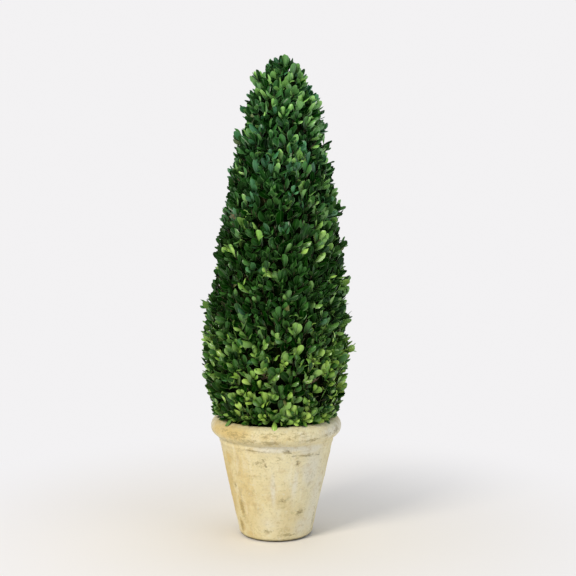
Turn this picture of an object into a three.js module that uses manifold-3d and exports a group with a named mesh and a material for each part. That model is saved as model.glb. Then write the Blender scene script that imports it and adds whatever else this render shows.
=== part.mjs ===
// A boxwood clipped to a tall cone, in a weathered terracotta pot with a rolled rim.
// Lengths are millimetres and angles are degrees unless a name says otherwise. +Z is up,
// the front faces -Y, and the origin is the centre of the pot's flat underside.

import * as THREE from "three";
import { mergeVertices } from "three/addons/utils/BufferGeometryUtils.js";
import Module from "manifold-3d";

const wasm = await Module();
wasm.setup();

// Driving dimensions of the whole plant
const TOTAL_HEIGHT = 700; // floor to the topmost leaf tip
const POT_HEIGHT = 177; // floor to the top of the rolled rim
const RIM_RADIUS = 96; // widest point of the rolled rim
const WALL_TOP_RADIUS = 84.4; // outside of the wall where it runs into the rim
const FOOT_RADIUS = 52.6; // outside of the wall at the floor
const CROWN_RADIUS = 108; // widest clipped surface of the foliage
const CROWN_WIDEST_Z = 262; // height of that widest place
const CLEAR = 0.3; // gap between pieces that rest on or run past each other

// Pot: a tapering wall, a cove, and a bead of clay rolled outwards at the top
const RIM_HALF_HEIGHT = 14;
const RIM_HALF_WIDTH = 15;
const RIM_CENTRE_Z = POT_HEIGHT - RIM_HALF_HEIGHT;
const RIM_CENTRE_R = RIM_RADIUS - RIM_HALF_WIDTH;
const WALL_TOP_Z = RIM_CENTRE_Z - RIM_HALF_HEIGHT;
const WALL = 9; // at the foot; it thickens towards the rim
const INSIDE_TOP_RADIUS = 71.5;
const POT_FLOOR = 13;
const FOOT_ROUND = 6;
const COLLAR_DROP = 8; // the thumbed band that runs round under the rim
const COLLAR_PROUD = 0.6;
const POT_SIDES = 48;

// Fill in the pot, and the short woody stem that stands on it inside the foliage
const FILL_TOP_Z = 165.7;
const FILL_EDGE = 2.5;
const STEM_RADIUS = 9;
const STEM_FLARE_RADIUS = 15;
const STEM_FLARE_HEIGHT = 16;
const STEM_TIP_RADIUS = 5;
const STEM_HEIGHT = 110;
const STEM_SIDES = 12;

// Crown: the clipped outline, its lean, and the dense core that the sprigs stand out of
const CROWN_FOOT_RADIUS = 88; // clipped surface where the foliage meets the rim
const OUTLINE_POWER = 1.1; // these two shape the ogive above the widest place
const OUTLINE_ROOT = 0.43;
const LEAN = 9.5; // the upper crown stands this far over towards +X
const LEAN_FROM_Z = 280;
const LEAN_TO_Z = 560;
const SWERVES = [ // and it swerves towards +X: height of the middle, spread and amount
  [380, 32, 4.5],
  [290, 18, 1.5],
  [243, 26, -3],
];
const UNDULATION = 2.2; // the shears leave the surface this uneven
const CORE_INSET = 10;
const CORE_TOP_INSET = 17;
const CORE_NECK_RADIUS = 69.5; // where the core sits down inside the rim
const CORE_NECK_Z = POT_HEIGHT + 2;
const CORE_RINGS = 14;
const CORE_SIDES = 24;

// Sprigs: three-sided twigs with pairs of leaves set crosswise up each twig
const SEED = 7;
const SPRIG_COUNT = 115;
const SPRIG_RISE = 38; // a sprig leans up from the clipped surface's normal by this much
const SPRIG_SWAY = 12;
const LEADER_DEPTH = 35; // the leader's root is this far under the topmost tip
const TWIG_LENGTH = 20;
const TWIG_DEPTH = 10; // a twig starts this far under the core's surface
const TWIG_ROOT = 3; // and its wood runs this much further in
const TWIG_RADIUS = 3.2;
const TWIG_END_RADIUS = 1.6;
const LEAF_LENGTH = 32;
const LEAF_SHORTEST = 14;
const LEAF_WIDTH_SHARE = 0.5; // leaf width over leaf length
const LEAF_THICKNESS_SHARE = 0.05;
const LEAF_SPREAD = 46; // angle between a leaf and its twig
const TIP_SCATTER = 5; // leaf tips end this far inside or outside the clipped surface
const GOLDEN_PLASTIC = 1.32471795724474602596; // gives the evenly spread sequence for sprigs

// Strays: sprigs that the shears missed. Each has the angle round the axis and the height of
// its tip, its reach past the clipped surface, and how steeply it rises.
const STRAYS = [
  [0, 277, 12, 14],
  [-4, 328, 8, 30],
  [-6, 382, 7, 34],
  [3, 432, 10, 30],
  [-3, 487, 10, 40],
  [4, 636, 8, 50],
  [180, 677, 11, 55],
  [183, 590, 7, 45],
  [178, 540, 8, 42],
  [181, 344, 11, 34],
  [95, 300, 9, 25],
  [62, 420, 9, 32],
  [128, 520, 8, 40],
  [-88, 625, 6, 50],
  [-128, 250, 7, 18],
  [150, 235, 9, 15],
  [0, 645, 7, 50],
  [2, 606, 6, 48],
  [180, 648, 4, 52],
];

const radians = THREE.MathUtils.degToRad;
const UP = new THREE.Vector3(0, 0, 1);

// A repeatable number from 0 to 1 for one sprig and one purpose.
function chance(sprig, purpose) {
  const wave = Math.sin(sprig * 12.9898 + purpose * 78.233 + SEED) * 43758.5453;
  return wave - Math.floor(wave);
}

// The same, spread evenly from -1 to 1.
const swing = (sprig, purpose) => 2 * chance(sprig, purpose) - 1;

// Turns a closed three.js geometry into a solid that can be joined and cut.
function solidOf(geometry) {
  const bare = geometry.clone();
  bare.deleteAttribute("normal");
  bare.deleteAttribute("uv");
  const merged = mergeVertices(bare, 1e-3);
  return new wasm.Manifold(
    new wasm.Mesh({
      numProp: 3,
      vertProperties: new Float32Array(merged.attributes.position.array),
      triVerts: new Uint32Array(merged.index.array),
    }),
  );
}

// Turns a solid back into a three.js geometry.
function geometryOf(solid) {
  const mesh = solid.getMesh();
  return new THREE.BufferGeometry()
    .setAttribute("position", new THREE.BufferAttribute(mesh.vertProperties, 3))
    .setIndex(new THREE.BufferAttribute(mesh.triVerts, 1));
}

// Keeps the one large body of a fused solid: sealed hollows and loose scraps go.
function mainBody(solid) {
  const bodies = solidOf(geometryOf(solid)).decompose();
  return bodies.reduce((a, b) => (a.volume() > b.volume() ? a : b));
}

// A profile of [radius, height] points turned round +Z.
function turned(profile, sides) {
  const points = profile.map(([r, z]) => new THREE.Vector2(r, z));
  return new THREE.LatheGeometry(points, sides).rotateX(Math.PI / 2);
}

function finish(color, roughness) {
  return new THREE.MeshStandardMaterial({ color, roughness, metalness: 0 });
}

// The wall's outer radius at a height, from the foot up to the rim.
function wallRadius(z) {
  return FOOT_RADIUS + (WALL_TOP_RADIUS - FOOT_RADIUS) * (z / WALL_TOP_Z);
}

// The radius of the pot's inside at a height. It is upright above the wall's top.
function insideRadius(z) {
  const foot = FOOT_RADIUS - WALL;
  return foot + (INSIDE_TOP_RADIUS - foot) * Math.min(z / WALL_TOP_Z, 1);
}

function potProfile() {
  const collarZ = WALL_TOP_Z - COLLAR_DROP;
  const outside = [
    [0, 0],
    [FOOT_RADIUS - FOOT_ROUND, 0],
    [wallRadius(FOOT_ROUND) - 0.3 * FOOT_ROUND, 0.3 * FOOT_ROUND],
    [wallRadius(FOOT_ROUND), FOOT_ROUND],
    [wallRadius(collarZ - 2), collarZ - 2],
    [wallRadius(collarZ) + COLLAR_PROUD, collarZ],
    [WALL_TOP_RADIUS + COLLAR_PROUD, WALL_TOP_Z],
  ];
  // The bead is an arc of an ellipse from under the rim, round outside, to the inner edge.
  const bead = [];
  const steps = 9;
  for (let i = 0; i <= steps; i += 1) {
    const angle = radians(-68 + (190 * i) / steps);
    bead.push([
      RIM_CENTRE_R + RIM_HALF_WIDTH * Math.cos(angle),
      RIM_CENTRE_Z + RIM_HALF_HEIGHT * Math.sin(angle),
    ]);
  }
  const inside = [
    [insideRadius(POT_HEIGHT), RIM_CENTRE_Z + 5],
    [insideRadius(POT_HEIGHT), WALL_TOP_Z],
    [insideRadius(POT_FLOOR), POT_FLOOR],
    [0, POT_FLOOR],
  ];
  return [...outside, ...bead, ...inside];
}

function fillProfile() {
  const foot = POT_FLOOR + CLEAR;
  return [
    [0, foot],
    [insideRadius(foot) - CLEAR - 0.1, foot],
    [insideRadius(WALL_TOP_Z) - CLEAR - 0.1, WALL_TOP_Z],
    [insideRadius(WALL_TOP_Z) - CLEAR - 0.1, FILL_TOP_Z - FILL_EDGE],
    [insideRadius(WALL_TOP_Z) - CLEAR - FILL_EDGE, FILL_TOP_Z],
    [0, FILL_TOP_Z],
  ];
}

// The stem's [radius, height] outline, grown by a gap for the hollow that the core leaves.
function stemProfile(gap) {
  const foot = FILL_TOP_Z + CLEAR - gap;
  return [
    [0, foot],
    [STEM_FLARE_RADIUS + gap, foot],
    [STEM_RADIUS + 2 + gap, foot + 0.45 * STEM_FLARE_HEIGHT],
    [STEM_RADIUS + gap, foot + STEM_FLARE_HEIGHT],
    [STEM_TIP_RADIUS + gap, foot + STEM_HEIGHT + 2 * gap],
    [0, foot + STEM_HEIGHT + 2 * gap],
  ];
}

// The clipped surface's radius at a height: a bulging skirt below, an ogive above.
function crownRadius(z) {
  if (z < CROWN_WIDEST_Z) {
    const down = (CROWN_WIDEST_Z - z) / (CROWN_WIDEST_Z - POT_HEIGHT);
    return CROWN_RADIUS - (CROWN_RADIUS - CROWN_FOOT_RADIUS) * down ** 1.5;
  }
  const up = Math.min(1, (z - CROWN_WIDEST_Z) / (TOTAL_HEIGHT - CROWN_WIDEST_Z));
  return CROWN_RADIUS * (1 - up ** OUTLINE_POWER) ** OUTLINE_ROOT;
}

// How far the crown's axis stands over towards +X at a height.
function lean(z) {
  const swerve = (sum, [middle, spread, amount]) =>
    sum + amount * Math.exp(-(((z - middle) / spread) ** 2));
  return SWERVES.reduce(swerve, LEAN * THREE.MathUtils.smoothstep(z, LEAN_FROM_Z, LEAN_TO_Z));
}

// How far the clipped surface swells out or sinks in at an angle round the axis.
function undulation(around, z) {
  return 0.5 * UNDULATION * (Math.sin(2 * around + z / 23) + Math.sin(3 * around - z / 41 + 1.3));
}

// Gives a turned crown its undulations and its lean.
function clippedShape(geometry) {
  const position = geometry.attributes.position;
  for (let i = 0; i < position.count; i += 1) {
    const [x, y, z] = [position.getX(i), position.getY(i), position.getZ(i)];
    const r = Math.hypot(x, y);
    const clipped = r > 0 && z > CORE_NECK_Z;
    const scale = clipped ? 1 + undulation(Math.atan2(y, x), z) / r : 1;
    position.setXYZ(i, x * scale + lean(z), y * scale, z);
  }
  return geometry;
}

// The core's [radius, height] outline: the clipped surface drawn in, with a neck in the rim.
function coreProfile() {
  const top = TOTAL_HEIGHT - CORE_TOP_INSET;
  const profile = [
    [0, FILL_TOP_Z + CLEAR],
    [CORE_NECK_RADIUS, FILL_TOP_Z + CLEAR],
    [CORE_NECK_RADIUS, CORE_NECK_Z],
  ];
  for (let i = 0; i < CORE_RINGS; i += 1) {
    const share = Math.sin((Math.PI / 2) * (i / CORE_RINGS));
    const z = CORE_NECK_Z + 2 + (top - CORE_NECK_Z - 2) * share;
    profile.push([crownRadius(z) - CORE_INSET, z]);
  }
  profile.push([0, top]);
  return profile;
}

// Heights from the foot to the tip of the crown, spaced so that equal shares of the
// clipped surface lie between them.
function evenHeights(count) {
  const heights = [0];
  const foot = POT_HEIGHT + 8;
  const step = (TOTAL_HEIGHT - 6 - foot) / count;
  const area = [0];
  for (let i = 1; i <= count; i += 1) {
    heights.push(foot + step * i);
    area.push(area[i - 1] + crownRadius(foot + step * (i - 0.5)));
  }
  heights[0] = foot;
  return (share) => {
    const wanted = share * area[count];
    const i = Math.max(1, area.findIndex((a) => a >= wanted));
    const part = (wanted - area[i - 1]) / (area[i] - area[i - 1]);
    return heights[i - 1] + part * step;
  };
}
const heightOfShare = evenHeights(400);

// The leader: an upright sprig on the core's top, whose end leaf is the plant's highest point.
function leaderAxis() {
  const rootZ = TOTAL_HEIGHT - LEADER_DEPTH;
  return {
    root: new THREE.Vector3(lean(rootZ), 0, rootZ),
    direction: UP,
    across: new THREE.Vector3(0, 1, 0),
  };
}

// Where sprig number n leaves the core, and the way it grows.
function sprigAxis(n) {
  const even = (turn) => (0.5 + n * turn) % 1;
  const z = heightOfShare(even(1 / GOLDEN_PLASTIC));
  const around = 2 * Math.PI * even(1 / GOLDEN_PLASTIC ** 2) + 0.1 * swing(n, 1);
  const slope = (crownRadius(z - 4) - crownRadius(z + 4)) / 8;
  const tilt = Math.atan(slope) + radians(SPRIG_RISE + SPRIG_SWAY * swing(n, 2));
  const rise = Math.min(tilt, radians(88));
  const turn = around + radians(SPRIG_SWAY) * swing(n, 3);
  const out = new THREE.Vector3(Math.cos(turn), Math.sin(turn), 0);
  const direction = out.clone().multiplyScalar(Math.cos(rise)).addScaledVector(UP, Math.sin(rise));
  const rootRadius = Math.max(1, crownRadius(z) - CORE_INSET - TWIG_DEPTH);
  const rootZ = Math.min(z - TWIG_LENGTH * Math.sin(rise), TOTAL_HEIGHT - CORE_TOP_INSET - 8);
  const root = new THREE.Vector3(
    lean(rootZ) + rootRadius * Math.cos(around),
    rootRadius * Math.sin(around),
    Math.max(rootZ, CORE_NECK_Z + 6),
  );
  return { root, direction, across: new THREE.Vector3().crossVectors(UP, out).normalize() };
}

// A stray's root and direction, worked back from its tip. It may reach past the outline.
function strayAxis([angle, tipZ, reach, rise]) {
  const turn = radians(angle);
  const out = new THREE.Vector3(Math.cos(turn), Math.sin(turn), 0);
  const direction = out.clone().multiplyScalar(Math.cos(radians(rise)));
  direction.addScaledVector(UP, Math.sin(radians(rise)));
  const root = out.clone().multiplyScalar(crownRadius(tipZ) + reach);
  root.add(new THREE.Vector3(lean(tipZ), 0, tipZ));
  root.addScaledVector(direction, -(0.97 * TWIG_LENGTH + LEAF_LENGTH));
  const across = new THREE.Vector3().crossVectors(UP, out);
  return { root, direction, across, allowance: reach + TIP_SCATTER + 2 };
}

// A closed leaf of eight faces along +X with its upper face to +Z: a narrow root, a broad
// middle, a blunt tip, and a back that is raised into a ridge.
function leafGeometry(length) {
  const half = (length * LEAF_WIDTH_SHARE) / 2;
  const thick = length * LEAF_THICKNESS_SHARE;
  const points = [
    [0, 0, 0],
    [0.6 * length, half, 0.04 * length],
    [0.94 * length, 0.42 * half, -0.05 * length],
    [length, -0.3 * half, -0.06 * length],
    [0.64 * length, -half, 0.04 * length],
    [0.56 * length, 0, -thick],
  ];
  const faces = [0, 1, 5, 1, 2, 5, 2, 3, 5, 3, 4, 5, 4, 0, 5, 0, 4, 1, 4, 3, 1, 3, 2, 1];
  return new THREE.BufferGeometry()
    .setAttribute("position", new THREE.Float32BufferAttribute(points.flat(), 3))
    .setIndex(faces);
}

// True where a point is clear of the pot's rim and of everything below the foliage.
function clearOfPot(point) {
  const r = Math.hypot(point.x, point.y);
  const across = (r - RIM_CENTRE_R) / (RIM_HALF_WIDTH + 1);
  const high = (point.z - RIM_CENTRE_Z) / (RIM_HALF_HEIGHT + 1);
  return point.z > RIM_CENTRE_Z + 4 && across ** 2 + high ** 2 > 1;
}

// The length at which a leaf from a point along a direction meets the clipped surface.
function clippedLength(from, along, scatter) {
  for (let length = LEAF_LENGTH; length >= LEAF_SHORTEST; length -= 1) {
    const tip = from.clone().addScaledVector(along, length);
    const off = new THREE.Vector2(tip.x - lean(tip.z), tip.y);
    const reach = crownRadius(tip.z - scatter) + undulation(off.angle(), tip.z) + scatter;
    if (tip.z < TOTAL_HEIGHT && off.length() <= reach && clearOfPot(tip)) return length;
  }
  return 0;
}

// One leaf set on a twig, or nothing where it would leave the crown's space.
function leafOn(axis, share, roll, spread, sprig, purpose) {
  const side = axis.across.clone().applyAxisAngle(axis.direction, roll);
  const toward = (angle) =>
    side.clone().multiplyScalar(Math.sin(angle)).addScaledVector(axis.direction, Math.cos(angle));
  const along = toward(spread);
  const face = toward(spread - Math.PI / 2);
  const from = axis.root.clone().addScaledVector(axis.direction, share * TWIG_LENGTH);
  const scatter = TIP_SCATTER * swing(sprig, purpose) + (axis.allowance ?? 0);
  const length = clippedLength(from, along, scatter);
  if (!length) return null;
  const place = new THREE.Matrix4()
    .makeBasis(along, new THREE.Vector3().crossVectors(face, along), face)
    .setPosition(from);
  return solidOf(leafGeometry(length).applyMatrix4(place));
}

// A twig with a crosswise pair of leaves near its root, another past its middle, and one
// leaf at the end, all fused. A stray has no leaves near its root.
function sprig(n, axis) {
  const growth = new THREE.Quaternion().setFromUnitVectors(new THREE.Vector3(0, 1, 0), axis.direction);
  const wood = TWIG_LENGTH + TWIG_ROOT;
  const twig = new THREE.CylinderGeometry(TWIG_END_RADIUS, TWIG_RADIUS, wood, 3)
    .translate(0, wood / 2 - TWIG_ROOT, 0)
    .applyQuaternion(growth)
    .translate(...axis.root.toArray());
  const roll = radians(25) * swing(n, 4);
  const spread = (purpose) => radians(LEAF_SPREAD + 8 * swing(n, purpose));
  const leaves = [
    leafOn(axis, 0.6, roll, spread(9), n, 10),
    leafOn(axis, 0.6, roll + Math.PI, spread(11), n, 12),
    leafOn(axis, 0.97, roll - Math.PI / 2, axis.allowance ? 0 : radians(14), n, 13),
  ];
  if (!axis.allowance) {
    leaves.push(leafOn(axis, 0.25, roll - Math.PI / 2, spread(5), n, 6));
    leaves.push(leafOn(axis, 0.25, roll + Math.PI / 2, spread(7), n, 8));
  }
  const solids = [solidOf(twig), ...leaves.filter((leaf) => leaf)];
  return solids.length > 1 ? wasm.Manifold.union(solids) : null;
}

function foliageCone() {
  const core = solidOf(clippedShape(turned(coreProfile(), CORE_SIDES)));
  const hollow = solidOf(turned(stemProfile(CLEAR), STEM_SIDES));
  const sprigs = [];
  for (let n = 0; n < SPRIG_COUNT; n += 1) sprigs.push(sprig(n, sprigAxis(n)));
  sprigs.push(sprig(SPRIG_COUNT, leaderAxis()));
  STRAYS.forEach((stray, i) => sprigs.push(sprig(SPRIG_COUNT + 1 + i, strayAxis(stray))));
  const foliage = wasm.Manifold.union([core, ...sprigs.filter((s) => s)]);
  return geometryOf(mainBody(foliage.subtract(hollow)));
}

const topiary = new THREE.Group();

function add(name, geometry, material) {
  const mesh = new THREE.Mesh(geometry, material);
  mesh.name = name;
  topiary.add(mesh);
}

add("pot", turned(potProfile(), POT_SIDES), finish(0xd9cba4, 0.85));
add("potting_fill", turned(fillProfile(), POT_SIDES), finish(0x3a2c1f, 0.95));
add("stem", turned(stemProfile(0), STEM_SIDES), finish(0x6b5640, 0.85));
add("foliage_cone", foliageCone(), finish(0x2f5a22, 0.45));

export default topiary;
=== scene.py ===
# %% [markdown]
# # A clipped boxwood cone in a weathered terracotta pot
#
# The plant is a cone of small, blunt, glossy leaves, so dense that it reads as one solid
# shape with dark gaps in it. It stands in a thick, lime-washed clay pot with a rolled rim.
# Each piece below is worked out with numpy in millimetres and becomes one mesh in metres.
# The frame that is loaded first holds the solids, and every new piece keeps to their sizes.

import bpy
import numpy as np
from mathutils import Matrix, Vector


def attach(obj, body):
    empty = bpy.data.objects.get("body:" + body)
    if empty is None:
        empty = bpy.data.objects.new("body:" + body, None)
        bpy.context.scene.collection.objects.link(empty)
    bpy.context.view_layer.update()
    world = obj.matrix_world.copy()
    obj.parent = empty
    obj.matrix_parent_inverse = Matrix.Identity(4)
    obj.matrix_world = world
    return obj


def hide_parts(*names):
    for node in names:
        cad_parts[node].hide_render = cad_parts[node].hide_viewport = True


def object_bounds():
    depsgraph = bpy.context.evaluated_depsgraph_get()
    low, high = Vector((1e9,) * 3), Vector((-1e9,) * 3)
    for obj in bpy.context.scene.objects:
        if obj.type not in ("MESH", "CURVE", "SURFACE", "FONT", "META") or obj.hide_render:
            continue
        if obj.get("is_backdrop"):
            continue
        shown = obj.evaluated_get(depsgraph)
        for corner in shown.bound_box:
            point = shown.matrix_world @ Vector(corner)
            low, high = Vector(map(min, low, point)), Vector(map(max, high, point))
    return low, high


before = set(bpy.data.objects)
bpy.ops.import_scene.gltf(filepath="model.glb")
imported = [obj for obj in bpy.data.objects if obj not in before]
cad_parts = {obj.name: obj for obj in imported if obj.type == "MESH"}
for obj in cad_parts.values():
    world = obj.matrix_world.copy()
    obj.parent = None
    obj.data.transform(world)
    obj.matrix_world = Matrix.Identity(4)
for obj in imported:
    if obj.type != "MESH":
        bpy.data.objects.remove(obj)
cad_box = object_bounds()
print("nodes:", sorted(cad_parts))
print("box in metres:", [tuple(round(v, 3) for v in corner) for corner in cad_box])

# %% [markdown]
# ## Camera
#
# The photograph was taken with a long lens from about two metres away, a little below the
# height of the plant's top and looking slightly down: the ellipses of the rim and the foot
# give that. With the same lens in the same place, a render can be laid over the photograph
# and compared.

# %% Camera
LENS, FILM_WIDTH = 88.56, 36.0  # mm
CAMERA_PLACE = (0.0177, -2.041, 0.632)  # metres
LOOKING_DOWN = 0.130  # radians

camera_data = bpy.data.cameras.new("camera")
camera_data.sensor_width = FILM_WIDTH
camera_data.lens = LENS
camera = bpy.data.objects.new("camera", camera_data)
camera.location = CAMERA_PLACE
camera.rotation_euler = (np.pi / 2 - LOOKING_DOWN, 0.0, 0.0)
bpy.context.scene.collection.objects.link(camera)
bpy.context.scene.camera = camera
bpy.context.scene.view_settings.view_transform = "Standard"
print("camera lens", LENS, "mm, looking down", round(np.degrees(LOOKING_DOWN), 2), "degrees")

# %% [markdown]
# ## Meshes and materials
#
# A mesh can be built point by point, but this plant has hundreds of thousands of points, so
# every shape is worked out as whole arrays and handed to Blender in one go. A material is a
# graph of nodes, which takes pages when each link is written out. The small maker below adds
# a node and joins it by one plain call, so that a material reads like a sum.

# %% Mesh maker
SCALE = 0.001  # the arrays are in millimetres and Blender's meshes in metres


def new_mesh(name, points, quads, triangles):
    """A mesh from an array of points in mm, an array of quads and an array of triangles."""
    quads = np.asarray(quads, dtype=np.int32)
    triangles = np.asarray(triangles, dtype=np.int32)
    corners = np.concatenate([quads.ravel(), triangles.ravel()])
    starts = np.r_[np.arange(len(quads)) * 4, quads.size + np.arange(len(triangles)) * 3]
    mesh = bpy.data.meshes.new(name)
    mesh.vertices.add(len(points))
    mesh.vertices.foreach_set("co", (np.asarray(points, dtype=np.float64) * SCALE).ravel())
    mesh.loops.add(len(corners))
    mesh.loops.foreach_set("vertex_index", corners)
    mesh.polygons.add(len(starts))
    mesh.polygons.foreach_set("loop_start", starts.astype(np.int32))
    mesh.polygons.foreach_set("use_smooth", np.ones(len(starts), dtype=bool))
    mesh.update(calc_edges=True)
    return mesh


def mark(mesh, name, domain, values):
    """Keeps one number for each point or face of a mesh, which its material can read."""
    mesh.attributes.new(name, "FLOAT", domain).data.foreach_set("value", values.astype(np.float32))


def new_piece(mesh, material):
    """An object at the origin that shows a mesh in one material."""
    piece = bpy.data.objects.new(mesh.name, mesh)
    mesh.materials.append(material)
    bpy.context.scene.collection.objects.link(piece)
    triangles = len(mesh.loops) - 2 * len(mesh.polygons)
    print(mesh.name, "has", len(mesh.vertices), "points and", triangles, "triangles")
    return piece


# %% Turned shapes
def round_axis(r, turn, z, middle=0.0):
    """Points from radii, angles and heights: (middle + r cos turn, r sin turn, z)."""
    rows = np.broadcast_arrays(middle + r * np.cos(turn), r * np.sin(turn), z)
    return np.stack(rows, axis=-1)


def turned(profile, columns):
    """Points of a profile of (radius, height) rows carried round +Z, and the angle of each."""
    around = 2 * np.pi * np.arange(columns) / columns
    return round_axis(profile[:, :1], around, profile[:, 1:]), around


def grid_quads(rows, columns):
    """Quads of a grid that closes on itself sideways: row i is points i*columns onwards."""
    i, j = np.meshgrid(np.arange(rows - 1), np.arange(columns), indexing="ij")
    left, right = i * columns + j, i * columns + (j + 1) % columns
    return np.stack([left, right, right + columns, left + columns], axis=-1).reshape(-1, 4)


def closed_turned(points, low_centre, high_centre):
    """Closes a turned grid with a fan at each end, and gives its points, quads and triangles."""
    rows, columns = points.shape[:2]
    flat = np.concatenate([points.reshape(-1, 3), [low_centre, high_centre]])
    j = np.arange(columns)
    right, middle = (j + 1) % columns, np.full(columns, rows * columns)
    top = (rows - 1) * columns
    fans = [np.stack([middle, right, j], axis=-1), np.stack([middle + 1, top + j, top + right], axis=-1)]
    return flat, grid_quads(rows, columns), np.concatenate(fans)


# %% Material maker
class Maker:
    """One material in the making: adds nodes to it and joins them by plain calls. Colours are
    given as three numbers, and an input without a name by its place, as in i0."""

    def __init__(self, name):
        """A new material with its shader at hand."""
        self.material = bpy.data.materials.new(name)
        self.material.use_nodes = True
        self.tree = self.material.node_tree
        self.shader = self.tree.nodes["Principled BSDF"]

    def add(self, kind, settings=None, **inputs):
        """A node of one kind, with its settings and its inputs, which are values or sockets."""
        node = self.tree.nodes.new(kind)
        for key, value in (settings or {}).items():
            setattr(node, key, value)
        for key, value in inputs.items():
            self.put(node.inputs[int(key[1:]) if key[1:].isdigit() else key], value)
        return node

    def put(self, socket, value):
        """Feeds a socket from another socket, or gives it a value."""
        if isinstance(value, bpy.types.NodeSocket):
            self.tree.links.new(value, socket)
        else:
            socket.default_value = (*value, 1.0) if socket.type == "RGBA" else value

    def place(self):
        """The Object coordinates, in metres."""
        return self.add("ShaderNodeTexCoord").outputs["Object"]

    def height(self):
        """The height above the pot's foot, in metres."""
        return self.add("ShaderNodeSeparateXYZ", i0=self.place()).outputs[2]

    def noise(self, scale, detail=4.0, roughness=0.55, where=None, distortion=0.0):
        """A fractal noise from 0 to 1 whose lumps are about 1/scale metres across."""
        shape = {"Scale": scale, "Detail": detail, "Roughness": roughness, "Distortion": distortion}
        return self.add("ShaderNodeTexNoise", Vector=where or self.place(), **shape).outputs["Fac"]

    def window(self, value, low, high):
        """0 below low, 1 above high and a smooth rise between them."""
        smooth = {"interpolation_type": "SMOOTHSTEP"}
        return self.add("ShaderNodeMapRange", smooth, i0=value, i1=low, i2=high).outputs[0]

    def blend(self, amount, first, second, mode="MIX"):
        """The first colour where amount is 0, and where it is 1 the second, or in the mode
        MULTIPLY the first times the second."""
        settings = {"data_type": "RGBA", "blend_type": mode}
        return self.add("ShaderNodeMix", settings, i0=amount, i6=first, i7=second).outputs[2]

    def maths(self, operation, first, second=0.0, third=0.0):
        """One sum on one, two or three values."""
        settings = {"operation": operation}
        return self.add("ShaderNodeMath", settings, i0=first, i1=second, i2=third).outputs[0]

    def times(self, first, second, plus=0.0):
        """first * second + plus."""
        return self.maths("MULTIPLY_ADD", first, second, plus)

    def rest(self, value):
        """1 - value."""
        return self.maths("SUBTRACT", 1.0, value)

    def attribute(self, name):
        """A number that the mesh keeps for each of its faces or points."""
        return self.add("ShaderNodeAttribute", {"attribute_name": name}).outputs["Fac"]

    def bump(self, height, strength, distance):
        """A surface normal that leans with the slope of a height."""
        node = self.add("ShaderNodeBump", Height=height, Strength=strength, Distance=distance)
        return node.outputs["Normal"]

    def finished(self, colour, roughness, gloss, normal=None):
        """The material, once its shader has its colour, roughness, gloss and normal."""
        self.put(self.shader.inputs["Base Color"], colour)
        self.put(self.shader.inputs["Roughness"], roughness)
        self.put(self.shader.inputs["Specular IOR Level"], gloss)
        if normal is not None:
            self.put(self.shader.inputs["Normal"], normal)
        return self.material


# %% [markdown]
# ## Floor and light
#
# A plain plane would end in a horizon that cuts across the plant, so the floor is a pale
# disc whose own shading fades into the pale background. A strong warm light from the left
# front models the leaves, a weaker cool one fills the right side, as daylight in a room
# would, and a third falls on the top from behind.

# %% Floor that fades into the background
BACKGROUND, FLOOR_COLOUR = (0.895, 0.885, 0.895), (0.86, 0.825, 0.765)
FLOOR_RADIUS, FLOOR_Z = 6000.0, -0.4  # mm
FADE_FROM, FADE_TO = 0.05, 0.64  # metres from the pot's axis


def floor_disc(rings=60, columns=96):
    """A flat disc: ring i has the radius (i / rings) squared times the whole."""
    r = FLOOR_RADIUS * (np.arange(1, rings + 1) / rings) ** 2
    points, _ = turned(np.stack([r, 0 * r + FLOOR_Z], axis=-1), columns)
    flat = np.concatenate([points.reshape(-1, 3), [[0.0, 0.0, FLOOR_Z]]])
    j = np.arange(columns)
    fan = np.stack([np.full(columns, rings * columns), j, (j + 1) % columns], axis=-1)
    return new_mesh("floor", flat, grid_quads(rings, columns)[:, ::-1], fan)


def floor_material():
    """Pale and matt, fading with the distance from the axis into the background's glow."""
    m = Maker("pale_floor")
    far = m.add("ShaderNodeVectorMath", {"operation": "LENGTH"}, i0=m.place()).outputs["Value"]
    glow = m.add("ShaderNodeEmission", Color=BACKGROUND, Strength=1.0).outputs[0]
    amount = m.window(far, FADE_FROM, FADE_TO)
    faded = m.add("ShaderNodeMixShader", i0=amount, i1=m.shader.outputs[0], i2=glow)
    m.put(m.tree.nodes["Material Output"].inputs["Surface"], faded.outputs[0])
    return m.finished(FLOOR_COLOUR, 0.75, 0.15)


floor = new_piece(floor_disc(), floor_material())
floor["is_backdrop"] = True

# %% Background and lights
SKY_COLOUR, SKY_STRENGTH = (0.90, 0.93, 1.0), 0.47
world = bpy.data.worlds.new("studio")
bpy.context.scene.world = world
world.use_nodes = True
studio = world.node_tree
sky = studio.nodes["Background"]
sky.inputs["Color"].default_value = (*SKY_COLOUR, 1.0)
sky.inputs["Strength"].default_value = SKY_STRENGTH
seen = studio.nodes.new("ShaderNodeBackground")
seen.inputs["Color"].default_value = (*BACKGROUND, 1.0)
path = studio.nodes.new("ShaderNodeLightPath")
choice = studio.nodes.new("ShaderNodeMixShader")
for number, socket in enumerate([path.outputs["Is Camera Ray"], sky.outputs[0], seen.outputs[0]]):
    studio.links.new(socket, choice.inputs[number])
studio.links.new(choice.outputs[0], studio.nodes["World Output"].inputs["Surface"])


def soft_light(name, where, towards_z, size, watts, colour):
    """A square area light at a place, turned to face the plant's axis at a height."""
    data = bpy.data.lights.new(name, "AREA")
    data.size, data.energy, data.color = size, watts, colour
    lamp = bpy.data.objects.new(name, data)
    lamp.location = where
    aim = np.array([0.0, 0.0, towards_z]) - np.array(where)
    tilt, turn = np.arctan2(np.hypot(aim[0], aim[1]), -aim[2]), np.arctan2(aim[0], -aim[1]) + np.pi
    lamp.rotation_euler = (tilt, 0.0, turn)
    bpy.context.scene.collection.objects.link(lamp)
    print(name, watts, "W at", where)


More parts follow.
